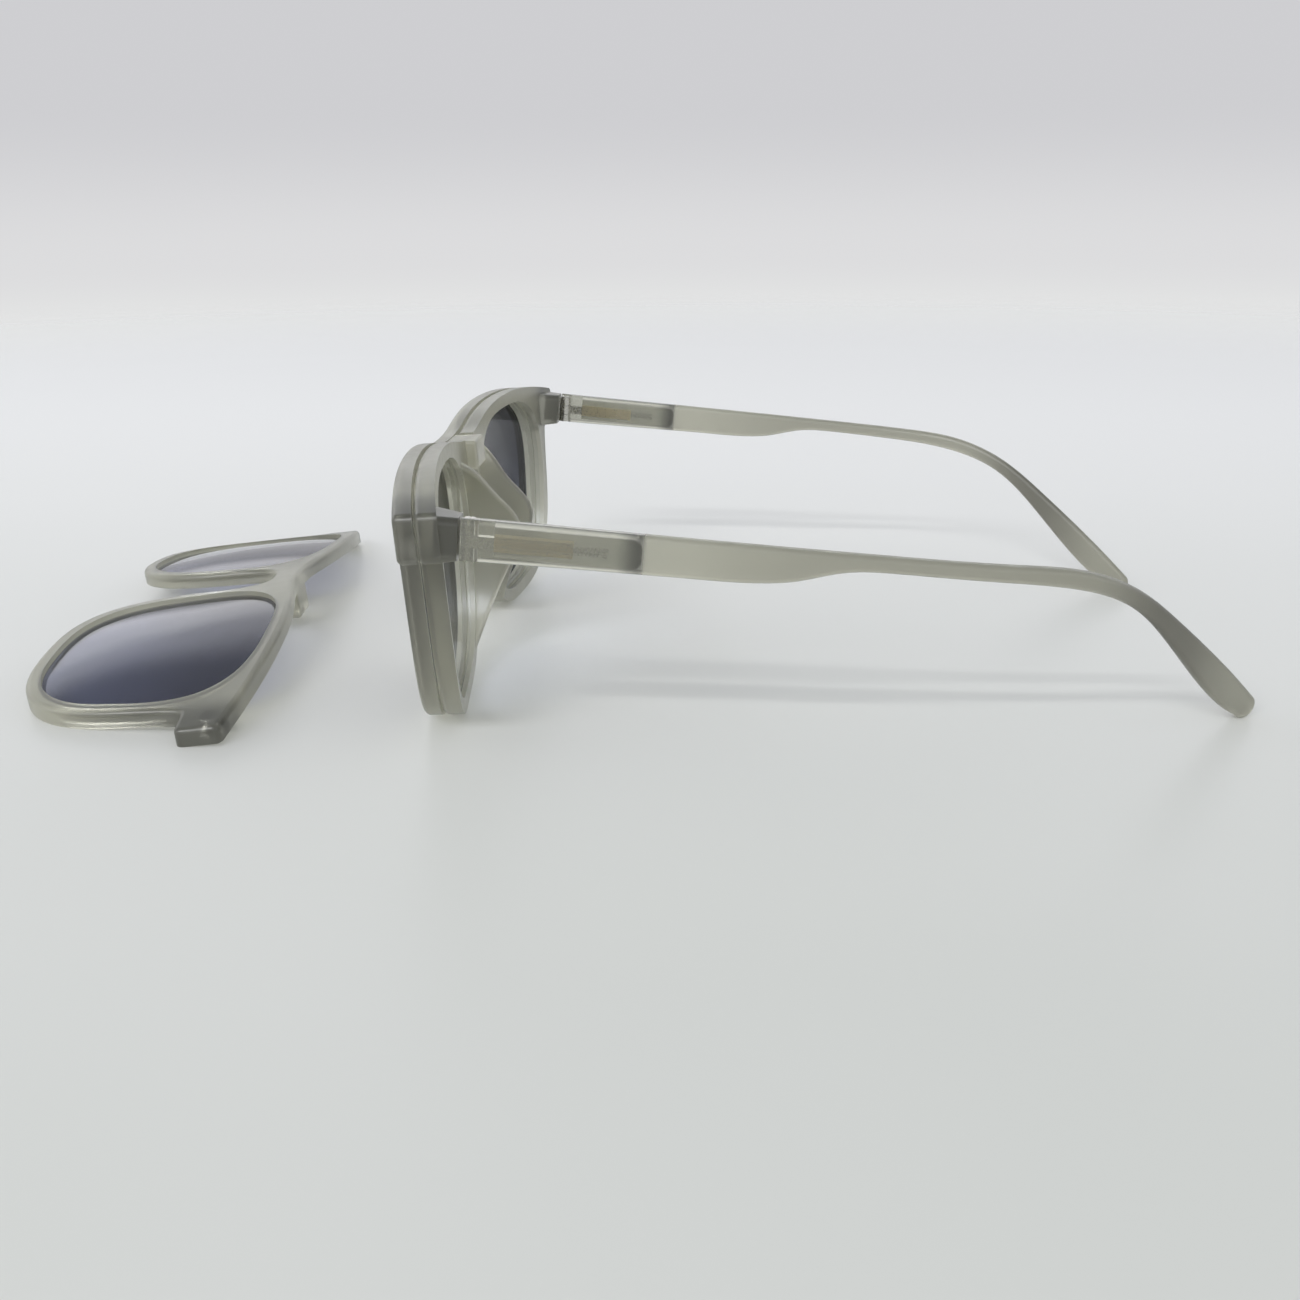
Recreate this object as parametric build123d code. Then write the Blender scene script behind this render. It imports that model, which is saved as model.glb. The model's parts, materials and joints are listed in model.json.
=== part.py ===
"""Spectacles with a magnetic clip-on worn on the front, and a second clip-on lying face up before them.

Millimetres, +Z up, +X towards the wearer's left, the fronts face -Y. Everything stands on Z = 0.
The front is drawn upright, with the rims' lowest point at Z = 0, then leaned forwards a little and set down.
"""
from build123d import *
import math
import os

# Lens and rim outline: a soft square, wider above its middle than below.
LENS_CENTRE_X = 35.5
LENS_HALF_WIDTH = 25.2
LENS_HALF_HEIGHT = 21.0
SQUARENESS = 2.8
TAPER = 0.1
TAPER_CURVE = 0.02
RIM_WIDTH = 2.75
LENS_MIDDLE_Z = LENS_HALF_HEIGHT + RIM_WIDTH
SEAT_DEPTH = 0.6
SEAT_GAP = 0.02
OUTLINE_STEPS = 24

# Longer than any piece: how far the cutting and slicing solids reach.
FAR = 100.0

# The fronts are curved in plan about upright axes, so a clip slides straight up off the frame.
FRONT_CURVE = 330.0
CLIP_FRONT_Y = -20.4
CLIP_THICKNESS = 3.2
CLIP_GAP = 0.25
FRAME_THICKNESS = 3.6
CURVE_CENTRE_Y = CLIP_FRONT_Y + FRONT_CURVE
FRAME_FRONT_Y = CLIP_FRONT_Y + CLIP_THICKNESS + CLIP_GAP
FRAME_BACK_Y = FRAME_FRONT_Y + FRAME_THICKNESS
EDGE_ROUND = 1.1

# Lugs at the upper outer corners, and the bridge between the rims.
LUG_X = 71.5
LUG_BOTTOM_Z = 35.5
LUG_TOP_Z = 43.7
LUG_ROOT_X = 65.2
LUG_ROUND = 1.4
END_ROUND = 1.3
BRIDGE_TOP_Z = 44.0
BRIDGE_BOTTOM_Z = 38.0
BRIDGE_THICKNESS = 3.4
HOOK_WIDTH = 9.0
HOOK_TOP_Z = 43.8
HOOK_PLATE = 1.3
HOOK_TAB = 2.2
HOOK_BOTTOM_Z = 37.9
HOOK_GAP = 0.25

# Nose pads: walls that follow the rims' nasal sides, inset a little from the rim's outline.
PAD_INSET = 0.15
PAD_INNER = 0.9
PAD_ROUND = 0.7

# Lenses.
CLEAR_LENS_SET_BACK = 1.0
CLEAR_LENS_THICKNESS = 1.6
TINTED_LENS_SET_BACK = 1.1
TINTED_LENS_THICKNESS = 1.0

# Magnets in the lugs of the clips and of the frame.
MAGNET_X = 65.6
MAGNET_Z = 40.5
MAGNET_RADIUS = 1.5
MAGNET_HEIGHT = 1.2
MAGNET_FIT = 0.03

# Sections across each end piece, from the hinge forwards: y, inner x, outer x and top z.
END_SECTIONS = [
    (0, 65.3, 69.85, 42.1),
    (-8.8, 61.8, 71.4, LUG_TOP_Z),
    (-12.5, 58.5, LUG_X, LUG_TOP_Z),
]

# Hinge: the axis, and the directions that the temples leave in.
HINGE_X = 67.0
HINGE_Y = -1.4
HINGE_Z = 38.7
TEMPLE_DROP_DEG = 8.73
TEMPLE_TOE_IN_DEG = 1.5
BUTT_Y = -1.5
BUTT_GAP = 0.35
KNUCKLE_RADIUS = 1.3
KNUCKLE_CLEARANCE = 0.3
KNUCKLE_HALF_HEIGHT = 2.85
EYE_HALF_HEIGHT = 1.05
EYE_GAP = 0.1
LEAF_THICKNESS = 1.0
LEAF_LENGTH = 5.5
LEAF_START = 1.4
PIN_RADIUS = 0.6
PIN_CLEARANCE = 0.05
SCREW_HEAD_RADIUS = 1.05
SCREW_HEAD_HEIGHT = 0.5
SCREW_HEAD_CHAMFER = 0.15
SLOT_WIDTH = 0.24
SLOT_DEPTH = 0.2

# Temple and the spring hinge inside it, in the temple's own frame: Y runs back from the hinge axis.
TEMPLE_OUTER_X = 3.02
TEMPLE_THICKNESS = 2.8
TEMPLE_TOP_Z = 3.65
TEMPLE_ROOT_BOTTOM_Z = -3.3
TEMPLE_EDGE_ROUND = 0.9
POCKET_FRONT = 4.3
POCKET_END = 27.9
POCKET_TOP_Z = 2.7
POCKET_BOTTOM_Z = -2.1
POCKET_THICKNESS = 1.8
POCKET_ROUND = 1.6
CORE_X = TEMPLE_OUTER_X - TEMPLE_THICKNESS / 2
SPRING_BOX_LENGTH = 12.6
SPRING_BOX_HEIGHT = 2.5
NECK_OUTER_X = 2.2
NECK_HALF_HEIGHT = 0.9
NECK_START = 0.3
NECK_CLEARANCE = 0.1
ROD_RADIUS = 0.45
NUT_RADIUS = 0.85
NUT_LENGTH = 0.9
SPRING_LENGTH = 4.6
SPRING_WIRE = 0.13
SPRING_RADIUS = 0.7
SPRING_TURNS = 7
RUNNING_CLEARANCE = 0.05

# How the glasses stand, and how the second clip lies before them.
LEAN_FORWARD_DEG = 3.3
SPARE_X, SPARE_Y = -7.95, -78.0
SPARE_TURN_DEG = 5.1
SPARE_TIP_DEG = 5.0


def ring_point(grow, degrees):
    """A point of the outline that runs grow outside the left lens, at an angle about its middle."""
    half_width, half_height = LENS_HALF_WIDTH + grow, LENS_HALF_HEIGHT + grow
    turn = math.radians(degrees)
    across, up = math.cos(turn), math.sin(turn)
    reach = (abs(across / half_width) ** SQUARENESS + abs(up / half_height) ** SQUARENESS) ** (
        -1 / SQUARENESS
    )
    rise = reach * up
    share = rise / half_height
    stretch = 1 + TAPER * share + TAPER_CURVE * share**2
    return (LENS_CENTRE_X + reach * across * stretch, LENS_MIDDLE_Z + rise)


def lens_outline(grow):
    """The left lens's outline, grown all round, as a face in X and Z."""
    points = [ring_point(grow, 360 * step / OUTLINE_STEPS) for step in range(OUTLINE_STEPS)]
    return make_face(Spline(*points, periodic=True))


def mirrored(points):
    """The same points on the other side, in the order that continues the curve."""
    return [(-x, z) for x, z in reversed(points)]


def front_outline():
    """The outer outline that frame and clips share: brow, lugs, rims and bridge."""
    brow = [(8, 44.4), (15, 45.6), (24, 46.9), (36, 47.5), (50, 47.0), (62, 45.5), (LUG_X, LUG_TOP_Z)]
    under = [(3.4, 37.5)]
    under += [ring_point(RIM_WIDTH, degrees) for degrees in range(165, 375, 15)]
    under += [(LUG_ROOT_X, LUG_BOTTOM_Z)]
    corner_top, corner_low, root = (LUG_X, LUG_TOP_Z), (LUG_X, LUG_BOTTOM_Z), under[-1]
    outline = Wire(
        [
            Spline(*mirrored(brow), (0, BRIDGE_TOP_Z), *brow),
            Line(corner_top, corner_low),
            Line(corner_low, root),
            Spline(*mirrored(under), (0, BRIDGE_BOTTOM_Z), *under),
            Line((-root[0], root[1]), (-corner_low[0], corner_low[1])),
            Line((-corner_low[0], corner_low[1]), (-corner_top[0], corner_top[1])),
        ]
    )
    face = make_face(outline)
    return fillet(face.vertices(), LUG_ROUND)


def curved_slab(front_y, thickness):
    """A full-height shell between two upright cylinders about the front's shared axis."""
    radius = CURVE_CENTRE_Y - front_y
    ring = Circle(radius) - Circle(radius - thickness)
    return Pos(0, CURVE_CENTRE_Y, -FAR / 2) * extrude(ring, 2 * FAR)


def through(face):
    """A face in X and Z, run back through the whole front."""
    return extrude(Plane.XZ * face, FAR)


def both_sides(shape):
    return shape + mirror(shape, about=Plane.YZ)


def plate(front_y, thickness):
    """The curved front plate with its front edges rounded, still without lens openings."""
    blank = (through(front_outline()) & curved_slab(front_y, thickness)).solids()[0]
    half_way = CURVE_CENTRE_Y - front_y - thickness / 2

    def in_front(edge):
        at = edge @ 0.5
        return math.hypot(at.X, at.Y - CURVE_CENTRE_Y) > half_way + thickness / 4

    return fillet(blank.edges().filter_by(in_front), EDGE_ROUND)


def lens(front_y, thickness):
    """The left lens: as curved as the front, with its rim in the seat."""
    return (through(lens_outline(SEAT_DEPTH)) & curved_slab(front_y, thickness)).solids()[0]


def openings(lens_front_y, lens_thickness):
    """Both lens openings and the seats that hold the lenses."""
    seat = through(lens_outline(SEAT_DEPTH + SEAT_GAP))
    seat &= curved_slab(lens_front_y - SEAT_GAP, lens_thickness + 2 * SEAT_GAP)
    return [both_sides(through(lens_outline(0))), both_sides(seat)]


def on_front(x, z, front_y):
    """The place on a curved face at x and z, with its normal pointing out of the front."""
    radius = CURVE_CENTRE_Y - front_y
    turn = math.asin(x / radius)
    outward = (math.sin(turn), -math.cos(turn), 0)
    origin = (x, CURVE_CENTRE_Y - radius * math.cos(turn), z)
    return Plane(origin=origin, z_dir=outward)


def disc(place, radius, start, height):
    """A round slug on a place's normal, from start outwards."""
    return place * Pos(0, 0, start) * extrude(Circle(radius), height)


def box(x_span, y_span, z_span):
    """A box between three pairs of limits."""
    spans = (x_span, y_span, z_span)
    size = [high - low for low, high in spans]
    middle = [(high + low) / 2 for low, high in spans]
    return Pos(*middle) * Box(*size)


# ---- The clip-on ----

CLIP_BACK_Y = CLIP_FRONT_Y + CLIP_THICKNESS
HOOK_TAB_Y = FRAME_FRONT_Y + BRIDGE_THICKNESS + HOOK_GAP
HOOK_REAR_Y = HOOK_TAB_Y + HOOK_TAB
HOOK_ROUND = 0.7


def hook():
    """The plate over the frame's bridge and the tab that drops behind it."""
    half = HOOK_WIDTH / 2
    side = Polyline(
        (CLIP_BACK_Y - 1, HOOK_TOP_Z),
        (HOOK_REAR_Y, HOOK_TOP_Z),
        (HOOK_REAR_Y, HOOK_BOTTOM_Z),
        (HOOK_TAB_Y, HOOK_BOTTOM_Z),
        (HOOK_TAB_Y, HOOK_TOP_Z - HOOK_PLATE),
        (CLIP_BACK_Y - 1, HOOK_TOP_Z - HOOK_PLATE),
        close=True,
    )
    shape = Pos(-half, 0, 0) * extrude(Plane.YZ * make_face(side), HOOK_WIDTH)
    rear = shape.edges().filter_by(Axis.X).group_by(Axis.Y)[-1]
    shape = fillet(rear, HOOK_ROUND)
    low = shape.edges().filter_by(Axis.Y).group_by(Axis.Z)[0]
    return fillet(low, HOOK_ROUND)


def clip_magnet():
    back = on_front(MAGNET_X, MAGNET_Z, CLIP_BACK_Y)
    return disc(back, MAGNET_RADIUS, MAGNET_FIT, MAGNET_HEIGHT)


def clip_frame():
    lens_front = CLIP_FRONT_Y + TINTED_LENS_SET_BACK
    back = on_front(MAGNET_X, MAGNET_Z, CLIP_BACK_Y)
    pocket = disc(back, MAGNET_RADIUS + MAGNET_FIT, -1, 1 + MAGNET_HEIGHT + 2 * MAGNET_FIT)
    shape = plate(CLIP_FRONT_Y, CLIP_THICKNESS) - openings(lens_front, TINTED_LENS_THICKNESS)
    return (shape - both_sides(pocket)).fuse(hook())


def clip_parts(prefix):
    """Every piece of one clip-on, upright in its worn place."""
    left_lens = lens(CLIP_FRONT_Y + TINTED_LENS_SET_BACK, TINTED_LENS_THICKNESS)
    pieces = {"left_lens": left_lens, "left_magnet": clip_magnet()}
    parts = {prefix + "_frame": clip_frame()}
    for name, piece in pieces.items():
        parts[f"{prefix}_{name}"] = piece
        parts[f"{prefix}_{name.replace('left', 'right')}"] = mirror(piece, about=Plane.YZ)
    return parts


# ---- The spectacle front ----

HINGE = (
    Pos(HINGE_X, HINGE_Y, HINGE_Z) * Rot(-TEMPLE_DROP_DEG, 0, 0) * Rot(0, 0, TEMPLE_TOE_IN_DEG)
)
EYE_SPACE = EYE_HALF_HEIGHT + EYE_GAP


def axis_cylinder(radius, low, high):
    """A cylinder about the hinge's axis, in the hinge's frame."""
    return Pos(0, 0, low) * extrude(Circle(radius), high - low)


def leaf_plate(grow=0.0):
    """The flat of the hinge leaf that is moulded into the end piece."""
    half = LEAF_THICKNESS / 2 + grow
    height = KNUCKLE_HALF_HEIGHT + grow
    return box((-half, half), (-LEAF_LENGTH - grow, -LEAF_START), (-height, height))


def hinge_leaf():
    """Two knuckles about the screw and the flat that anchors them."""
    shape = leaf_plate()
    half = LEAF_THICKNESS / 2
    for low, high in ((EYE_SPACE, KNUCKLE_HALF_HEIGHT), (-KNUCKLE_HALF_HEIGHT, -EYE_SPACE)):
        shape += axis_cylinder(KNUCKLE_RADIUS, low, high)
        shape += box((-half, half), (-LEAF_START - half, 0), (low, high))
    bore = axis_cylinder(PIN_RADIUS + PIN_CLEARANCE, -FAR, FAR)
    return HINGE * (shape - bore)


def hinge_screw():
    """A pin with a slotted head on the upper knuckle."""
    head = axis_cylinder(
        SCREW_HEAD_RADIUS, KNUCKLE_HALF_HEIGHT, KNUCKLE_HALF_HEIGHT + SCREW_HEAD_HEIGHT
    )
    head = chamfer(head.edges().group_by(Axis.Z)[-1], SCREW_HEAD_CHAMFER)
    floor = KNUCKLE_HALF_HEIGHT + SCREW_HEAD_HEIGHT - SLOT_DEPTH
    slot = box((-FAR, FAR), (-SLOT_WIDTH / 2, SLOT_WIDTH / 2), (floor, FAR))
    pin = axis_cylinder(PIN_RADIUS, -KNUCKLE_HALF_HEIGHT, KNUCKLE_HALF_HEIGHT)
    return HINGE * (pin + head - slot)


def end_section(y, inner_x, outer_x, top_z):
    """A rounded rectangle across the end piece at y."""
    width, height = outer_x - inner_x, top_z - LUG_BOTTOM_Z
    middle = ((inner_x + outer_x) / 2, y, (top_z + LUG_BOTTOM_Z) / 2)
    return Plane(middle, x_dir=(1, 0, 0), z_dir=(0, -1, 0)) * RectangleRounded(width, height, END_ROUND)


def end_piece():
    """The block that runs back from the front's upper corner to the hinge."""
    shape = loft([end_section(*section) for section in END_SECTIONS], ruled=True)
    radius = CURVE_CENTRE_Y - FRAME_FRONT_Y - EDGE_ROUND / 2
    shape &= Pos(0, CURVE_CENTRE_Y, 0) * extrude(Circle(radius), FAR)
    return shape - HINGE * box((-FAR, FAR), (BUTT_Y, FAR), (-FAR, FAR))


def nose_pad():
    """The flare behind the nasal side of the left rim, deepest at mid height."""
    wall = lens_outline(RIM_WIDTH - PAD_INSET) - lens_outline(PAD_INNER)
    top, deepest, bottom = (-13.6, 41.0), (-2.9, 26.2), (-13.6, 1.5)
    upper = [top, (-10.6, 38.2), (-7.2, 33.2), (-4.0, 29.2), deepest]
    lower = [(-3.4, 22.9), (-5.8, 18.5), (-8.3, 14.0), (-11.1, 8.0), bottom]
    inside_rim = FRAME_FRONT_Y + FRAME_THICKNESS / 2
    front = Polyline(bottom, (inside_rim, bottom[1]), (inside_rim, top[1]), top)
    side = make_face(Spline(*upper, *lower) + front)
    return through(wall) & extrude(Plane.YZ * side, LENS_CENTRE_X - LENS_HALF_WIDTH / 2)


def round_pads(shape):
    """The front with the rear edges of its nose pads rounded."""

    def on_pad(edge):
        at = edge @ 0.5
        return abs(at.X) < LENS_CENTRE_X - LENS_HALF_WIDTH / 2 and at.Y > FRAME_BACK_Y + 1

    return fillet(shape.edges().filter_by(on_pad), PAD_ROUND)


def front_frame():
    lens_front = FRAME_FRONT_Y + CLEAR_LENS_SET_BACK
    shape = plate(FRAME_FRONT_Y, FRAME_THICKNESS) + both_sides(end_piece())
    shape = round_pads(shape + both_sides(nose_pad()))
    shape -= openings(lens_front, CLEAR_LENS_THICKNESS)
    half = HOOK_WIDTH / 2 + HOOK_GAP
    floor = HOOK_TOP_Z - HOOK_PLATE - HOOK_GAP
    shape -= box((-half, half), (-FAR, 0), (floor, FAR))
    shape -= box((-half, half), (FRAME_FRONT_Y + BRIDGE_THICKNESS, 0), (LENS_MIDDLE_Z, FAR))
    place = on_front(MAGNET_X, MAGNET_Z, FRAME_FRONT_Y)
    shape -= both_sides(disc(place, MAGNET_RADIUS + MAGNET_FIT, -MAGNET_HEIGHT - 2 * MAGNET_FIT, 3))
    return shape - both_sides(HINGE * leaf_plate(SEAT_GAP))


def frame_magnet():
    place = on_front(MAGNET_X, MAGNET_Z, FRAME_FRONT_Y)
    return disc(place, MAGNET_RADIUS, -MAGNET_HEIGHT - MAGNET_FIT, MAGNET_HEIGHT)


# ---- Temple and spring hinge, in the hinge's frame ----

SPRING_BOX_END = POCKET_FRONT + SPRING_BOX_LENGTH
NUT_START = SPRING_BOX_END + SPRING_LENGTH + RUNNING_CLEARANCE


def temple_side():
    """The temple seen from the side: a bar that steps thinner, then drops to a round tip."""
    front = BUTT_Y + BUTT_GAP
    root = Polyline(
        (30, -2.8), (front, TEMPLE_ROOT_BOTTOM_Z), (front, TEMPLE_TOP_Z), (88, TEMPLE_TOP_Z)
    )
    top = Spline(
        (88, TEMPLE_TOP_Z),
        (101.5, 2.7),
        (110.5, -0.3),
        (120, -6.2),
        (131.7, -14.8),
        (141.4, -22.7),
        tangents=[(1, 0), (1, -0.85)],
    )
    tip = ThreePointArc((141.4, -22.7), (141.5, -25.4), (137.7, -25.7))
    under = Spline(
        (137.7, -25.7),
        (129.6, -20.3),
        (119, -10.4),
        (109, -2.9),
        (96.7, 0.3),
        (82.7, 0.9),
        (68.6, 1.0),
        (60, 0.4),
        (52.4, -1.7),
        (44.3, -2.6),
        (30, -2.8),
        tangents=[(-1, 0.45), (-1, -0.016)],
    )
    return make_face(root + top + tip + under)


def temple_plan():
    """The temple seen from above: straight over the hinge, bowed out, then in towards the tip."""
    outer = Spline(
        (TEMPLE_OUTER_X, 10),
        (3.4, 34),
        (3.3, 50),
        (3.0, 64),
        (2.5, 77),
        (1.0, 90),
        (-2.4, 102),
        (-6.4, 112),
        (-15.7, 130),
        (-25.2, 147),
        tangents=[(0, 1), (-0.5, 0.87)],
    )
    inner = []
    for step in range(OUTLINE_STEPS // 2 + 1):
        share = 2 * step / OUTLINE_STEPS
        at, along = outer @ share, outer % share
        inner.append((at.X - along.Y * TEMPLE_THICKNESS, at.Y + along.X * TEMPLE_THICKNESS))
    back = Spline(*reversed(inner), tangents=[(0.5, -0.87), (0, -1)])
    before_butt = BUTT_Y - 1
    root = Polyline(inner[0], (inner[0][0], before_butt), (TEMPLE_OUTER_X, before_butt), outer @ 0)
    return make_face(outer + Line(outer @ 1, inner[-1]) + back + root)


def temple_cavity():
    """The pocket for the spring hinge and the passage and notch in front of it."""
    half = POCKET_THICKNESS / 2
    pocket = box(
        (CORE_X - half, CORE_X + half), (POCKET_FRONT, POCKET_END), (POCKET_BOTTOM_Z, POCKET_TOP_Z)
    )
    rear = pocket.edges().filter_by(Axis.X).group_by(Axis.Y)[-1]
    tall = NECK_HALF_HEIGHT + NECK_CLEARANCE
    passage = box((-FAR, NECK_OUTER_X + NECK_CLEARANCE), (BUTT_Y, POCKET_FRONT), (-tall, tall))
    reach = KNUCKLE_RADIUS + KNUCKLE_CLEARANCE
    notch = axis_cylinder(reach, -FAR, FAR) + box((-FAR, reach), (BUTT_Y, 0), (-FAR, FAR))
    return [fillet(rear, POCKET_ROUND), passage, notch]


def temple():
    """The moulded arm, its long edges rounded, hollow over the spring hinge."""
    from_side = extrude(Plane.YZ.offset(-FAR) * temple_side(), 2 * FAR)
    from_above = extrude(Plane.XY.offset(-FAR) * temple_plan(), 2 * FAR)
    shape = (from_side & from_above).solids()[0]

    def lengthwise(edge):
        return abs((edge @ 0).Y - (edge @ 1).Y) > 1 or (edge @ 0.5).Y > 100

    shape = fillet(shape.edges().filter_by(lengthwise), TEMPLE_EDGE_ROUND)
    for cut in temple_cavity():
        shape -= cut
    return HINGE * shape


def along_temple(radius, start, end):
    """A cylinder along the temple's core, between two distances behind the hinge axis."""
    return Pos(CORE_X, start, 0) * Rot(-90, 0, 0) * extrude(Circle(radius), end - start)


def spring_box():
    """The metal box fixed in the temple, bored for the rod."""
    half, tall = POCKET_THICKNESS / 2, SPRING_BOX_HEIGHT / 2
    shape = box((CORE_X - half, CORE_X + half), (POCKET_FRONT, SPRING_BOX_END), (-tall, tall))
    return HINGE * (shape - along_temple(ROD_RADIUS + RUNNING_CLEARANCE, 0, FAR))


def spring_slider():
    """The eye on the screw, its neck, and the rod that slides through the spring box."""
    shape = axis_cylinder(KNUCKLE_RADIUS, -EYE_HALF_HEIGHT, EYE_HALF_HEIGHT)
    neck_end = POCKET_FRONT - NECK_CLEARANCE
    neck = box(
        (NECK_START, NECK_OUTER_X), (NECK_START, neck_end), (-NECK_HALF_HEIGHT, NECK_HALF_HEIGHT)
    )
    rod = along_temple(ROD_RADIUS, neck_end - ROD_RADIUS, NUT_START + NUT_LENGTH)
    bore = axis_cylinder(PIN_RADIUS + PIN_CLEARANCE, -FAR, FAR)
    return HINGE * ((shape + neck - bore) + rod)


def rod_nut():
    """The ring fixed on the rod's end, which the spring pushes on."""
    ring = along_temple(NUT_RADIUS, NUT_START, NUT_START + NUT_LENGTH)
    return HINGE * (ring - along_temple(ROD_RADIUS + SEAT_GAP, 0, FAR))


def coil_spring():
    """The spring round the rod, between the box and the nut."""
    length = SPRING_LENGTH - 2 * SPRING_WIRE - 2 * RUNNING_CLEARANCE
    path = Helix(pitch=length / SPRING_TURNS, height=length, radius=SPRING_RADIUS)
    section = Plane(origin=path @ 0, z_dir=path % 0) * Circle(SPRING_WIRE)
    coil = sweep(section, path=path, is_frenet=True)
    start = SPRING_BOX_END + SPRING_WIRE + RUNNING_CLEARANCE
    return HINGE * Pos(CORE_X, start, 0) * Rot(-90, 0, 0) * coil


# ---- The whole set ----


def glasses_parts():
    """Every piece of the spectacles, upright: left ones as drawn, right ones mirrored."""
    left = {
        "lens": lens(FRAME_FRONT_Y + CLEAR_LENS_SET_BACK, CLEAR_LENS_THICKNESS),
        "frame_magnet": frame_magnet(),
        "hinge_leaf": hinge_leaf(),
        "hinge_screw": hinge_screw(),
        "temple": temple(),
        "spring_box": spring_box(),
        "spring_slider": spring_slider(),
        "rod_nut": rod_nut(),
        "coil_spring": coil_spring(),
    }
    parts = {"front_frame": front_frame()}
    for name, piece in left.items():
        parts["left_" + name] = piece
        parts["right_" + name] = mirror(piece, about=Plane.YZ)
    return parts


def placed(parts, location):
    return {name: location * piece for name, piece in parts.items()}


def lowest(parts):
    return min(piece.bounding_box().min.Z for piece in parts.values())


def set_down(parts):
    """The same pieces lowered or raised to stand on Z = 0."""
    return placed(parts, Pos(0, 0, -lowest(parts)))


def lying_clip(parts):
    """A clip face up before the glasses, tipped so that lugs and lower rims touch the table."""
    flat = Rot(-90, 0, 0) * Pos(0, -CLIP_FRONT_Y, -LENS_MIDDLE_Z)
    lie = Pos(SPARE_X, SPARE_Y, 0) * Rot(0, 0, SPARE_TURN_DEG) * Rot(SPARE_TIP_DEG, 0, 0)
    return set_down(placed(parts, lie * flat))


def whole_set():
    lean = Rot(LEAN_FORWARD_DEG, 0, 0)
    clip = clip_parts("worn_clip")
    spare = {name.replace("worn", "spare"): piece for name, piece in clip.items()}
    glasses = set_down(placed(glasses_parts() | clip, lean))
    parts = glasses | lying_clip(spare)
    boxes = [piece.bounding_box() for piece in parts.values()]
    middle_x = (min(b.min.X for b in boxes) + max(b.max.X for b in boxes)) / 2
    middle_y = (min(b.min.Y for b in boxes) + max(b.max.Y for b in boxes)) / 2
    return placed(parts, Pos(-middle_x, -middle_y, 0))


def main():
    os.makedirs("parts", exist_ok=True)
    for name, piece in whole_set().items():
        export_step(piece, f"parts/{name}.step")


main()
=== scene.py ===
"""Looks for the spectacles with their magnetic clip-ons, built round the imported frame.

Metres, +Z up.
"""

import json
import math

import bpy
import numpy as np
from mathutils import Matrix, Vector


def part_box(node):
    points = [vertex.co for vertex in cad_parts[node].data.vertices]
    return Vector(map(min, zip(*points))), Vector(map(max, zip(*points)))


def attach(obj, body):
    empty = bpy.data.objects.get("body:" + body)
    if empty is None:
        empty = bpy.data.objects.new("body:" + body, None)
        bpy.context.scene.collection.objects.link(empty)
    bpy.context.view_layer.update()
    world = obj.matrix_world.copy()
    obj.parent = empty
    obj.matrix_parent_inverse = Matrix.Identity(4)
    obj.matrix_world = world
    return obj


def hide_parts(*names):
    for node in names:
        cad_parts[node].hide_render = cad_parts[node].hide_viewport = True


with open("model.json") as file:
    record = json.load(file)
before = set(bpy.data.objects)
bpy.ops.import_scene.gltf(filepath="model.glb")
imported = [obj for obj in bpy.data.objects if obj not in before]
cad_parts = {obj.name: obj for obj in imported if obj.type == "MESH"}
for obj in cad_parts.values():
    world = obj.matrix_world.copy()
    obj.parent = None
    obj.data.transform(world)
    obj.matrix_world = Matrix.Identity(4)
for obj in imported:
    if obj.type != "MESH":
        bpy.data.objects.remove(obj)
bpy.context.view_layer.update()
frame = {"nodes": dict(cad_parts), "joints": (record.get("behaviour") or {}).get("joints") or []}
nodes = frame["nodes"]
joints = {joint["name"]: joint for joint in frame["joints"]}

MM = 0.001
SIDES = ("left", "right")
CLIPS = ("worn_clip", "spare_clip")


def middle(node):
    low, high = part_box(node)
    return (low + high) / 2


HINGE = {side: middle(f"{side}_hinge_screw") for side in SIDES}
BACK = {side: Vector(joints[f"{side}_flex"]["axis"]).normalized() for side in SIDES}
FRONT_UP = Vector(joints["clip_lift"]["axis"]).normalized()

# ---- Camera, lights and floor ----

CAMERA_FROM_HINGE = Vector((203.6, 40.05, 51.5)) * MM
CAMERA_YAW, CAMERA_PITCH, CAMERA_ROLL = -0.0559, 0.3330, -0.0081
LENS_MM = 36.39
SENSOR_MM = 36


def placed(place, *axes):
    """The matrix that puts an object at a place with its own X, Y and Z along three axes."""
    return Matrix.Translation(place) @ Matrix(axes).transposed().to_4x4()


def add_camera():
    """A camera at the wearer's left, behind the fronts, looking down across both temples."""
    level = Vector((-math.cos(CAMERA_YAW), math.sin(CAMERA_YAW), 0))
    forward = level * math.cos(CAMERA_PITCH) - Vector((0, 0, math.sin(CAMERA_PITCH)))
    right = forward.cross(Vector((0, 0, 1))).normalized()
    up = right.cross(forward)
    turn = Matrix.Rotation(-CAMERA_ROLL, 4, forward)
    right, up = turn @ right, turn @ up
    data = bpy.data.cameras.new("camera")
    data.lens = LENS_MM
    data.sensor_width = SENSOR_MM
    data.clip_start = 0.01
    data.clip_end = 50
    camera = bpy.data.objects.new("camera", data)
    bpy.context.scene.collection.objects.link(camera)
    place = HINGE["left"] + CAMERA_FROM_HINGE
    camera.matrix_world = placed(place, right, up, -forward)
    bpy.context.scene.camera = camera


def new_tree(tree):
    """Empties a node tree and gives two short helpers to fill it."""
    tree.nodes.clear()

    def node(kind, **settings):
        made = tree.nodes.new("ShaderNode" + kind)
        for key, value in settings.items():
            setattr(made, key, value)
        return made

    def link(source, target):
        tree.links.new(source, target)

    return node, link


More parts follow.
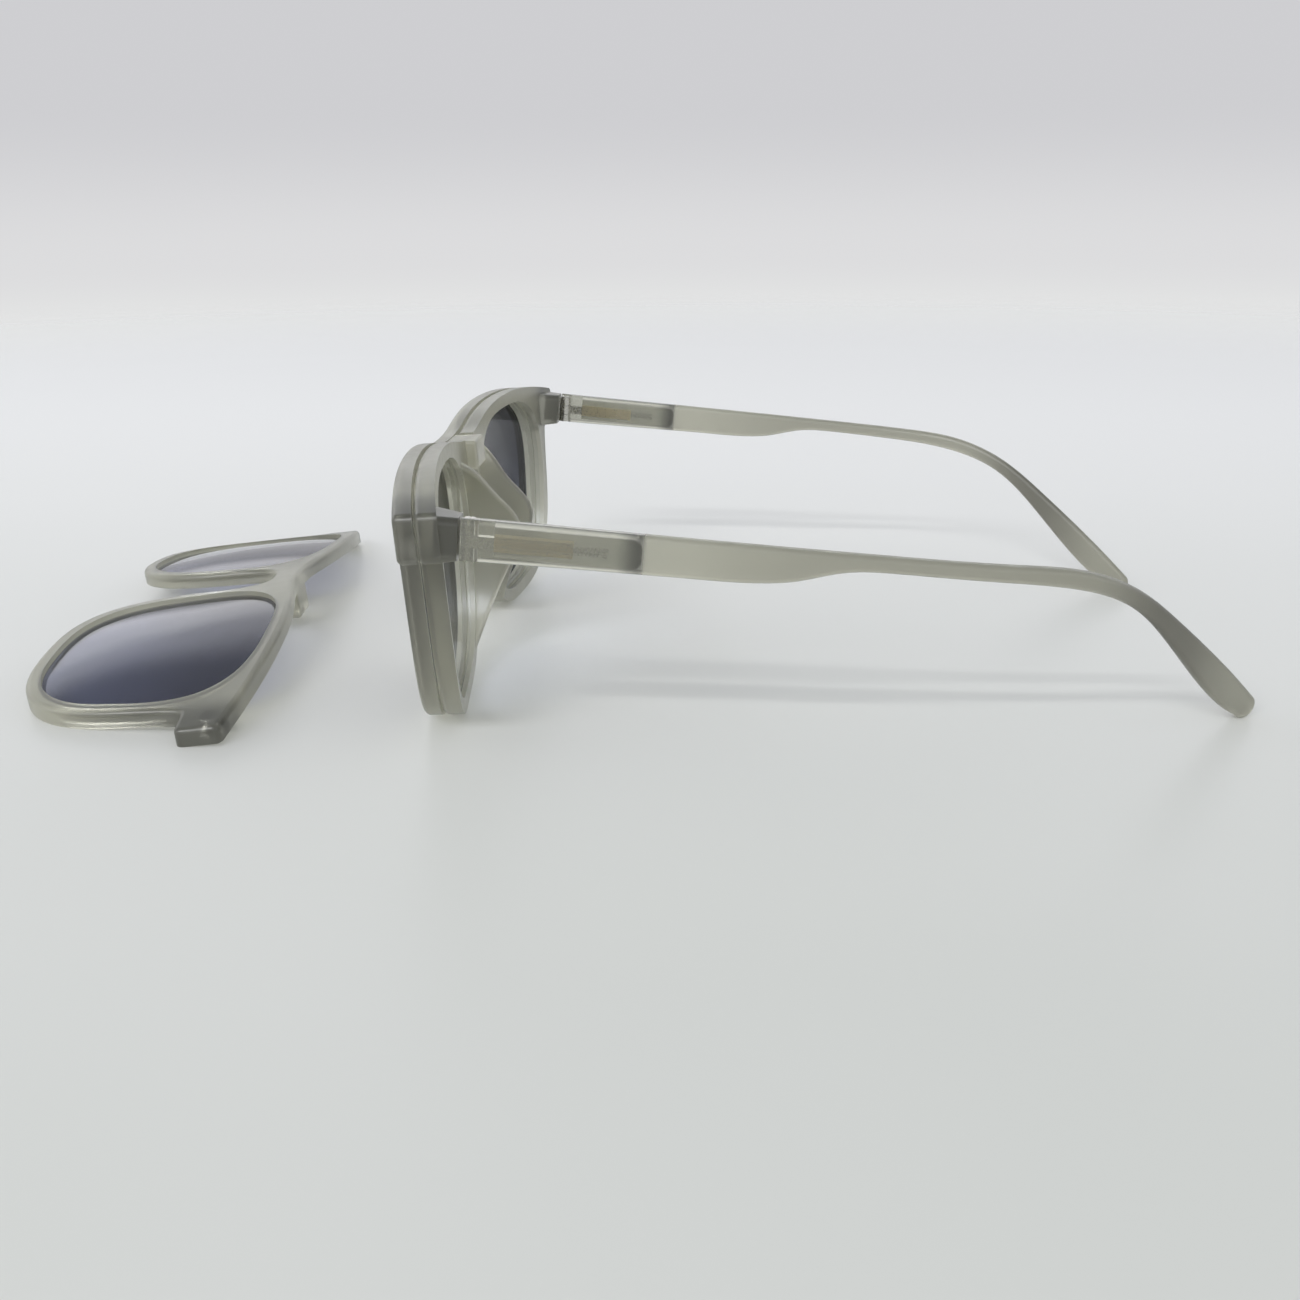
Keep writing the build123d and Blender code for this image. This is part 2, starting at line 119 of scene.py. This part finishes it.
def ramp(node, link, source, stops):
    """A colour ramp over a value from 0 to 1; a stop is (place, colour)."""
    made = node("ValToRGB")
    made.color_ramp.interpolation = "EASE"
    elements = made.color_ramp.elements
    while len(elements) < len(stops):
        elements.new(0.5)
    for element, (place, colour) in zip(elements, stops):
        element.position = place
        element.color = (*colour, 1)
    link(source, made.inputs["Fac"])
    return made.outputs["Color"]


# The room's light by height, from 0 straight below to 1 straight overhead.
SKY = [
    (0.40, (0.62, 0.63, 0.61)),
    (0.45, (0.80, 0.81, 0.80)),
    (0.48, (0.72, 0.72, 0.73)),
    (0.53, (0.62, 0.62, 0.64)),
    (0.575, (0.62, 0.62, 0.64)),
    (0.62, (1.45, 1.45, 1.47)),
    (0.67, (1.40, 1.41, 1.44)),
    (0.72, (1.00, 1.02, 1.08)),
    (0.80, (0.34, 0.36, 0.40)),
    (1.00, (0.40, 0.40, 0.41)),
]


def add_world():
    """A room of soft pale light: brightest in a band above eye level, dim overhead."""
    world = bpy.data.worlds.new("studio")
    world.use_nodes = True
    node, link = new_tree(world.node_tree)
    coordinate = node("TexCoord")
    split = node("SeparateXYZ")
    link(coordinate.outputs["Generated"], split.inputs[0])
    height = node("MapRange")
    height.inputs["From Min"].default_value = -1
    height.inputs["From Max"].default_value = 1
    link(split.outputs["Z"], height.inputs["Value"])
    background = node("Background")
    link(ramp(node, link, height.outputs["Result"], SKY), background.inputs["Color"])
    output = node("OutputWorld")
    link(background.outputs[0], output.inputs["Surface"])
    bpy.context.scene.world = world


TUBE_HEIGHT = 1.5
TUBE_SIZE = (0.07, 1.3)
TUBE_POWER = 15.0
TUBE_Y = -1.0
# How far each tube stands towards +X, as a share of its height.
TUBE_SLOPES = (1.0, 1.3)


def add_tube(name, slope):
    """A long ceiling light parallel to the temples, towards the camera's side."""
    data = bpy.data.lights.new(name, "AREA")
    data.shape = "RECTANGLE"
    data.size, data.size_y = TUBE_SIZE
    data.energy = TUBE_POWER
    light = bpy.data.objects.new(name, data)
    bpy.context.scene.collection.objects.link(light)
    place = Vector((slope * TUBE_HEIGHT, TUBE_Y, TUBE_HEIGHT))
    away = place.normalized()
    across = Vector((0, 1, 0)).cross(away).normalized()
    along = away.cross(across)
    light.matrix_world = placed(place, across, along, away)


FLOOR_RADIUS = 1.1
FLOOR_FADE_START = 0.55
FLOOR_STEPS = 96
FLOOR_BELOW = 0.02 * MM
NEAR_PAPER = [(0.3, (0.70, 0.715, 0.675)), (0.7, (0.735, 0.745, 0.71))]
# The far tone is painted light: the paper is made lighter in colour away from the camera.
FAR_PAPER_PAINTED_LIGHT = (0.93, 0.935, 0.92)
# The paper turns from its near tone to a lighter far tone, which is painted light, between these
# distances along -X.
PAPER_PAINTED_LIGHT_CHANGE = (-0.2, 0.35)


def add_floor():
    """A round of pale sweep paper, with painted light making it lighter along -X away from the
    camera, that fades into the room's light at its edge.
    """
    turns = [2 * math.pi * k / FLOOR_STEPS for k in range(FLOOR_STEPS)]
    points = [(FLOOR_RADIUS * math.cos(a), FLOOR_RADIUS * math.sin(a), 0) for a in turns]
    mesh = bpy.data.meshes.new("floor")
    mesh.from_pydata(points, [], [list(range(FLOOR_STEPS))])
    floor = bpy.data.objects.new("floor", mesh)
    bpy.context.scene.collection.objects.link(floor)
    floor.location.z = -FLOOR_BELOW
    material = bpy.data.materials.new("sweep_paper")
    material.use_nodes = True
    node, link = new_tree(material.node_tree)
    coordinate = node("TexCoord")
    length = node("VectorMath", operation="LENGTH")
    link(coordinate.outputs["Object"], length.inputs[0])
    fade = node("MapRange", interpolation_type="SMOOTHSTEP")
    fade.inputs["From Min"].default_value = FLOOR_FADE_START
    fade.inputs["From Max"].default_value = FLOOR_RADIUS
    link(length.outputs["Value"], fade.inputs["Value"])
    grain = node("TexNoise")
    grain.inputs["Scale"].default_value = 900
    grain.inputs["Detail"].default_value = 6
    link(coordinate.outputs["Object"], grain.inputs["Vector"])
    clouds = node("TexNoise")
    clouds.inputs["Scale"].default_value = 5
    link(coordinate.outputs["Object"], clouds.inputs["Vector"])
    near = ramp(node, link, clouds.outputs["Fac"], NEAR_PAPER)
    # Painted light: the paper's colour turns lighter further along -X.
    away = distance_along(node, link, (0, 0, 0), (-1, 0, 0))
    paper_with_painted_light = mixed_colour(node, link, between(node, link, away, *PAPER_PAINTED_LIGHT_CHANGE), near, FAR_PAPER_PAINTED_LIGHT)
    bump = node("Bump")
    bump.inputs["Strength"].default_value = 0.06
    bump.inputs["Distance"].default_value = 0.05 * MM
    link(grain.outputs["Fac"], bump.inputs["Height"])
    shader = node("BsdfPrincipled")
    shader.inputs["Roughness"].default_value = 0.38
    shader.inputs["Specular IOR Level"].default_value = 0.35
    link(paper_with_painted_light, shader.inputs["Base Color"])
    link(bump.outputs["Normal"], shader.inputs["Normal"])
    clear = node("BsdfTransparent")
    mix = node("MixShader")
    link(fade.outputs["Result"], mix.inputs[0])
    link(shader.outputs[0], mix.inputs[1])
    link(clear.outputs[0], mix.inputs[2])
    output = node("OutputMaterial")
    link(mix.outputs[0], output.inputs["Surface"])
    mesh.materials.append(material)


# ---- Materials ----


def material_tree(name):
    """A new material, with the two helpers that fill it."""
    material = bpy.data.materials.new(name)
    material.use_nodes = True
    node, link = new_tree(material.node_tree)
    return material, node, link


def finish_material(node, link, shader, shadow_colour=None):
    """Joins a shader to the output. Where shadow_colour is given, lamps shine through it."""
    output = node("OutputMaterial")
    if shadow_colour is None:
        link(shader.outputs[0], output.inputs["Surface"])
        return
    rays = node("LightPath")
    clear = node("BsdfTransparent")
    clear.inputs["Color"].default_value = (*shadow_colour, 1)
    mix = node("MixShader")
    link(rays.outputs["Is Shadow Ray"], mix.inputs[0])
    link(shader.outputs[0], mix.inputs[1])
    link(clear.outputs[0], mix.inputs[2])
    link(mix.outputs[0], output.inputs["Surface"])


def noise(node, link, scale, detail):
    made = node("TexNoise")
    made.inputs["Scale"].default_value = scale
    made.inputs["Detail"].default_value = detail
    link(node("TexCoord").outputs["Object"], made.inputs["Vector"])
    return made.outputs["Fac"]


def distance_along(node, link, start, direction):
    """How far a point lies from start in a direction, before any joint moves."""
    away = node("VectorMath", operation="SUBTRACT")
    link(node("TexCoord").outputs["Object"], away.inputs[0])
    away.inputs[1].default_value = start
    along = node("VectorMath", operation="DOT_PRODUCT")
    link(away.outputs[0], along.inputs[0])
    along.inputs[1].default_value = direction
    return along.outputs["Value"]


def between(node, link, value, start, end, low=0.0, high=1.0):
    """Runs smoothly from low to high while value runs from start to end."""
    made = node("MapRange", interpolation_type="SMOOTHSTEP")
    limits = {"From Min": start, "From Max": end, "To Min": low, "To Max": high}
    for name, number in limits.items():
        made.inputs[name].default_value = number
    link(value, made.inputs["Value"])
    return made.outputs["Result"]


def mixed_colour(node, link, share, first, second):
    made = node("Mix", data_type="RGBA")
    link(share, made.inputs["Factor"])
    for name, colour in (("A", first), ("B", second)):
        socket = [s for s in made.inputs if s.name == name and s.type == "RGBA"][0]
        if isinstance(colour, tuple):
            socket.default_value = (*colour, 1)
        else:
            link(colour, socket)
    return [s for s in made.outputs if s.type == "RGBA"][0]


PLASTIC_IOR = 1.49
FROST_LIGHT = (0.60, 0.595, 0.50)
FROST_DARK = (0.50, 0.495, 0.41)
# Along a temple, from its hinge back: the clear pocket with painted shade at its far end, the
# bar and the darker bend.
POCKET_END = 27.9 * MM
POCKET_GREY = (0.52, 0.52, 0.45)
POCKET_ROUGHNESS = 0.08
POCKET_EDGE = (POCKET_END - 0.6 * MM, POCKET_END + 0.6 * MM)
# Painted shade: the last few millimetres of the pocket are darkened in colour for the shade at
# its rounded end.
POCKET_PAINTED_SHADE = (0.24, 0.24, 0.21)
POCKET_PAINTED_SHADE_ZONE = (POCKET_END - 5 * MM, POCKET_END - 0.5 * MM)
BAR_GREY = (0.42, 0.415, 0.345)
BAR_ZONE = (25 * MM, 62 * MM)
BEND_GREY = (0.22, 0.215, 0.18)
BEND_ZONE = (100 * MM, 116 * MM)
BEND_FADE = (120 * MM, 136 * MM)
# Across a front or a clip, from its middle out to the lugs.
LUG_GREY = (0.20, 0.20, 0.17)
LUG_ZONE = (60 * MM, 66 * MM)
# Satin roughness. Below about 0.28 the plastic renders crumpled, not satin.
TEMPLE_SATIN = (0.36, 0.46)
FRONT_SATIN = (0.29, 0.36)
# The light that each part lets through to its shadow.
FRONT_SHADOW = (0.74, 0.74, 0.72)
TEMPLE_SHADOW = (0.45, 0.45, 0.44)


def temple_tones(node, link, colour, rough, hinge, back):
    """Clears the plastic over the spring hinge's pocket, paints shade towards the pocket's far
    end, and darkens it along the temple.
    """
    along = distance_along(node, link, hinge, back)
    bar = between(node, link, along, *BAR_ZONE)
    colour = mixed_colour(node, link, bar, colour, BAR_GREY)
    bend = node("Math", operation="MULTIPLY")
    link(between(node, link, along, *BEND_ZONE), bend.inputs[0])
    link(between(node, link, along, *BEND_FADE, 1, 0), bend.inputs[1])
    colour = mixed_colour(node, link, bend.outputs["Value"], colour, BEND_GREY)
    pocket = between(node, link, along, *POCKET_EDGE, 1, 0)
    # Painted shade, deepening towards the pocket's end.
    painted_shade = between(node, link, along, *POCKET_PAINTED_SHADE_ZONE)
    pocket_and_painted_shade = mixed_colour(node, link, painted_shade, POCKET_GREY, POCKET_PAINTED_SHADE)
    colour = mixed_colour(node, link, pocket, colour, pocket_and_painted_shade)
    smooth = node("Mix", data_type="FLOAT")
    link(pocket, smooth.inputs["Factor"])
    link(rough, smooth.inputs["A"])
    smooth.inputs["B"].default_value = POCKET_ROUGHNESS
    return colour, smooth.outputs["Result"]


def lug_tones(node, link, colour, centre, across):
    """Darkens the plastic through the depth of the lugs."""
    out = node("Math", operation="ABSOLUTE")
    link(distance_along(node, link, centre, across), out.inputs[0])
    lug = between(node, link, out.outputs["Value"], *LUG_ZONE)
    return mixed_colour(node, link, lug, colour, LUG_GREY)


def frosted(name, start, direction, is_temple):
    """Satin translucent grey plastic. Its tones run in a direction from a start.

    A temple's run back from its hinge, and a front's or clip's run out from its middle.
    """
    material, node, link = material_tree(name)
    shader = node("BsdfPrincipled")
    clouds = noise(node, link, 70, 3)
    colour = mixed_colour(node, link, clouds, FROST_LIGHT, FROST_DARK)
    satin = noise(node, link, 400, 3)
    rough = between(node, link, satin, 0.3, 0.7, *(TEMPLE_SATIN if is_temple else FRONT_SATIN))
    if is_temple:
        colour, rough = temple_tones(node, link, colour, rough, start, direction)
    else:
        colour = lug_tones(node, link, colour, start, direction)
    link(colour, shader.inputs["Base Color"])
    link(rough, shader.inputs["Roughness"])
    shader.inputs["IOR"].default_value = PLASTIC_IOR
    shader.inputs["Transmission Weight"].default_value = 0.8
    shader.inputs["Coat Weight"].default_value = 0.1
    shader.inputs["Coat Roughness"].default_value = 0.3
    finish_material(node, link, shader, TEMPLE_SHADOW if is_temple else FRONT_SHADOW)
    return material


# A low refractive index stands for an anti-reflection coat.
COATED_IOR = 1.06
CLEAR_COLOUR = (0.95, 0.96, 0.96)
CLEAR_SHADOW = (0.94, 0.95, 0.95)
TINT_IOR = {"worn_clip": 1.08, "spare_clip": 1.52}
TINT_TOP = {"worn_clip": (0.03, 0.03, 0.035), "spare_clip": (0.09, 0.09, 0.12)}
TINT_BOTTOM = {"worn_clip": (0.07, 0.075, 0.10), "spare_clip": (0.17, 0.18, 0.26)}
TINT_SHADOW = (0.80, 0.81, 0.86)


LENS_REACH = 20 * MM


def tinted(name, centre, up, clip):
    """A polished grey-violet lens, a little darker towards the brow."""
    material, node, link = material_tree(name)
    shader = node("BsdfPrincipled")
    height = distance_along(node, link, centre, up)
    share = between(node, link, height, -LENS_REACH, LENS_REACH)
    colour = mixed_colour(node, link, share, TINT_BOTTOM[clip], TINT_TOP[clip])
    dust = noise(node, link, 1500, 4)
    link(between(node, link, dust, 0.55, 0.8, 0.015, 0.05), shader.inputs["Roughness"])
    link(colour, shader.inputs["Base Color"])
    shader.inputs["IOR"].default_value = TINT_IOR[clip]
    shader.inputs["Transmission Weight"].default_value = 1.0
    finish_material(node, link, shader, TINT_SHADOW)
    return material


def clear_lens():
    """A polished clear lens with a trace of dust."""
    material, node, link = material_tree("clear_lens")
    shader = node("BsdfPrincipled")
    dust = noise(node, link, 1500, 4)
    link(between(node, link, dust, 0.55, 0.8, 0.0, 0.03), shader.inputs["Roughness"])
    shader.inputs["Base Color"].default_value = (*CLEAR_COLOUR, 1)
    shader.inputs["IOR"].default_value = COATED_IOR
    shader.inputs["Transmission Weight"].default_value = 1.0
    finish_material(node, link, shader, CLEAR_SHADOW)
    return material


def metal(name, light, dark, roughness):
    """Machined metal: a mottled tone, with fine scratches and dull spots."""
    material, node, link = material_tree(name)
    shader = node("BsdfPrincipled")
    mottled = noise(node, link, 900, 4)
    link(mixed_colour(node, link, mottled, light, dark), shader.inputs["Base Color"])
    scratches = noise(node, link, 2500, 6)
    rough = between(node, link, scratches, 0.3, 0.7, roughness * 0.7, roughness * 1.4)
    link(rough, shader.inputs["Roughness"])
    bump = node("Bump")
    bump.inputs["Strength"].default_value = 0.3
    bump.inputs["Distance"].default_value = 0.01 * MM
    link(scratches, bump.inputs["Height"])
    link(bump.outputs["Normal"], shader.inputs["Normal"])
    shader.inputs["Metallic"].default_value = 1.0
    finish_material(node, link, shader)
    return material


def give(node, material):
    """Puts a material on a CAD node."""
    mesh = nodes[node].data
    mesh.materials.clear()
    mesh.materials.append(material)


# ---- Lenses ----

LENS_RINGS = 14
LENS_SPOKES = 96
LENS_BEVEL = 0.12 * MM


def lens_surface(points, out, up):
    """Fits a lens: its middle, own axes, middle surface, half thickness and outline.

    The middle surface is a fit over the distances across and up. The outline is a reach
    at each spoke's angle.
    """
    centre = points.mean(0)
    across = np.cross(up, out)
    across /= np.linalg.norm(across)
    up = np.cross(out, across)
    u, v, w = (points - centre) @ across, (points - centre) @ up, (points - centre) @ out
    terms = np.stack([u * u, u, v, np.ones_like(u)], -1)
    fit = np.linalg.lstsq(terms, w, rcond=None)[0]
    half = np.abs(w - terms @ fit).max()
    angle = np.arctan2(v, u)
    order = np.argsort(angle)
    spokes = np.linspace(-np.pi, np.pi, LENS_SPOKES, endpoint=False)
    reach = np.interp(spokes, angle[order], np.hypot(u, v)[order], period=2 * np.pi)
    return centre, (across, up, out), fit, half, spokes, reach


def add_lens(cad_node, body, out, up, dome, material):
    """A domed lens in its CAD node's seat: two polar grids joined by a bevelled edge."""
    points = np.array([v.co for v in nodes[cad_node].data.vertices], float)
    surface = lens_surface(points, np.array(out, float), np.array(up, float))
    centre, (across, upward, outward), fit, half, spokes, reach = surface

    def place(share, turn, face, shrink=0.0):
        radius = share * (reach[turn] - shrink)
        u, v = radius * math.cos(spokes[turn]), radius * math.sin(spokes[turn])
        w = fit @ np.array([u * u, u, v, 1]) + face + dome * (1 - share**2)
        return centre + u * across + v * upward + w * outward

    verts, faces = [], []

    def add_face_grid(face, flip):
        start = len(verts)
        verts.append(place(0, 0, face))
        for ring in range(1, LENS_RINGS + 1):
            for turn in range(LENS_SPOKES):
                verts.append(place(ring / LENS_RINGS, turn, face, LENS_BEVEL))
        for turn in range(LENS_SPOKES):
            after = (turn + 1) % LENS_SPOKES
            first = (start, start + 1 + turn, start + 1 + after)
            faces.append(first[::-1] if flip else first)
            for ring in range(LENS_RINGS - 1):
                a = start + 1 + ring * LENS_SPOKES
                b = a + LENS_SPOKES
                quad = (a + turn, b + turn, b + after, a + after)
                faces.append(quad[::-1] if flip else quad)
        return start + 1 + (LENS_RINGS - 1) * LENS_SPOKES

    front = add_face_grid(half, False)
    back = add_face_grid(-half, True)
    edges = []
    for face in (half - LENS_BEVEL, -half + LENS_BEVEL):
        edges.append(len(verts))
        verts.extend(place(1, turn, face) for turn in range(LENS_SPOKES))
    loops = [front, edges[0], edges[1], back]
    for a, b in zip(loops, loops[1:]):
        for turn in range(LENS_SPOKES):
            after = (turn + 1) % LENS_SPOKES
            faces.append((a + turn, b + turn, b + after, a + after))
    made = bpy.data.meshes.new(cad_node + "_domed")
    made.from_pydata([tuple(v) for v in verts], [], faces)
    made.materials.append(material)
    made.shade_smooth()
    lens = bpy.data.objects.new(cad_node + "_domed", made)
    bpy.context.scene.collection.objects.link(lens)
    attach(lens, body)
    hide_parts(cad_node)


CLIP_DOME = 1.2 * MM
CLEAR_DOME = 0.9 * MM


def clip_axes(clip):
    """Out of the front and up the brow, for a clip where it rests."""
    lenses = [middle(f"{clip}_{side}_lens") for side in SIDES]
    magnets = [middle(f"{clip}_{side}_magnet") for side in SIDES]
    across = (lenses[0] - lenses[1]).normalized()
    points = [v.co for side in SIDES for v in nodes[f"{clip}_{side}_lens"].data.vertices]
    points = np.array(points, float)
    normal = Vector(np.linalg.svd(points - points.mean(0), full_matrices=False)[2][2])
    brow = (magnets[0] + magnets[1] - lenses[0] - lenses[1]).normalized()
    brow = (brow - brow.dot(across) * across).normalized()
    normal = (normal - normal.dot(across) * across).normalized()
    if normal.dot(across.cross(brow)) < 0:
        normal = -normal
    return normal, normal.cross(across)


def add_lenses():
    """Domed lenses for both clips and for the front."""
    for clip in CLIPS:
        out, up = clip_axes(clip)
        for side in SIDES:
            node = f"{clip}_{side}_lens"
            material = tinted(f"{clip}_{side}_tint", middle(node), up, clip)
            add_lens(node, clip, out, up, CLIP_DOME, material)
    clear = clear_lens()
    out = -FRONT_UP.cross(Vector((1, 0, 0)))
    for side in SIDES:
        add_lens(f"{side}_lens", "front", out, FRONT_UP, CLEAR_DOME, clear)


# ---- The CAD nodes' materials ----

STEEL_LIGHT, STEEL_DARK = (0.66, 0.65, 0.60), (0.45, 0.44, 0.40)
BOX_LIGHT, BOX_DARK = (0.95, 0.80, 0.46), (0.74, 0.61, 0.34)
NICKEL_LIGHT, NICKEL_DARK = (0.85, 0.84, 0.78), (0.70, 0.69, 0.62)


def dress_cad():
    """A material for every CAD node that stays in sight."""
    steel = metal("hinge_steel", STEEL_LIGHT, STEEL_DARK, 0.25)
    brass = metal("spring_box_metal", BOX_LIGHT, BOX_DARK, 0.35)
    nickel = metal("magnet_nickel", NICKEL_LIGHT, NICKEL_DARK, 0.15)
    magnets = {"front_frame": "{}_frame_magnet"}
    magnets |= {f"{clip}_frame": clip + "_{}_magnet" for clip in CLIPS}
    for front, magnet in magnets.items():
        left, right = (middle(magnet.format(side)) for side in SIDES)
        across = (left - right).normalized()
        give(front, frosted(f"frosted_{front}", (left + right) / 2, across, False))
    for clip in CLIPS:
        for side in SIDES:
            give(f"{clip}_{side}_magnet", nickel)
    for side in SIDES:
        temple = f"{side}_temple"
        give(temple, frosted(f"frosted_{temple}", HINGE[side], BACK[side], True))
        give(f"{side}_spring_box", brass)
        give(f"{side}_frame_magnet", nickel)
        for part in ("hinge_leaf", "hinge_screw", "spring_slider", "rod_nut", "coil_spring"):
            give(f"{side}_{part}", steel)


def main():
    bpy.context.scene.view_settings.view_transform = "Standard"
    add_camera()
    add_world()
    for index, slope in enumerate(TUBE_SLOPES):
        add_tube(f"ceiling_tube_{index + 1}", slope)
    add_floor()
    dress_cad()
    add_lenses()


main()
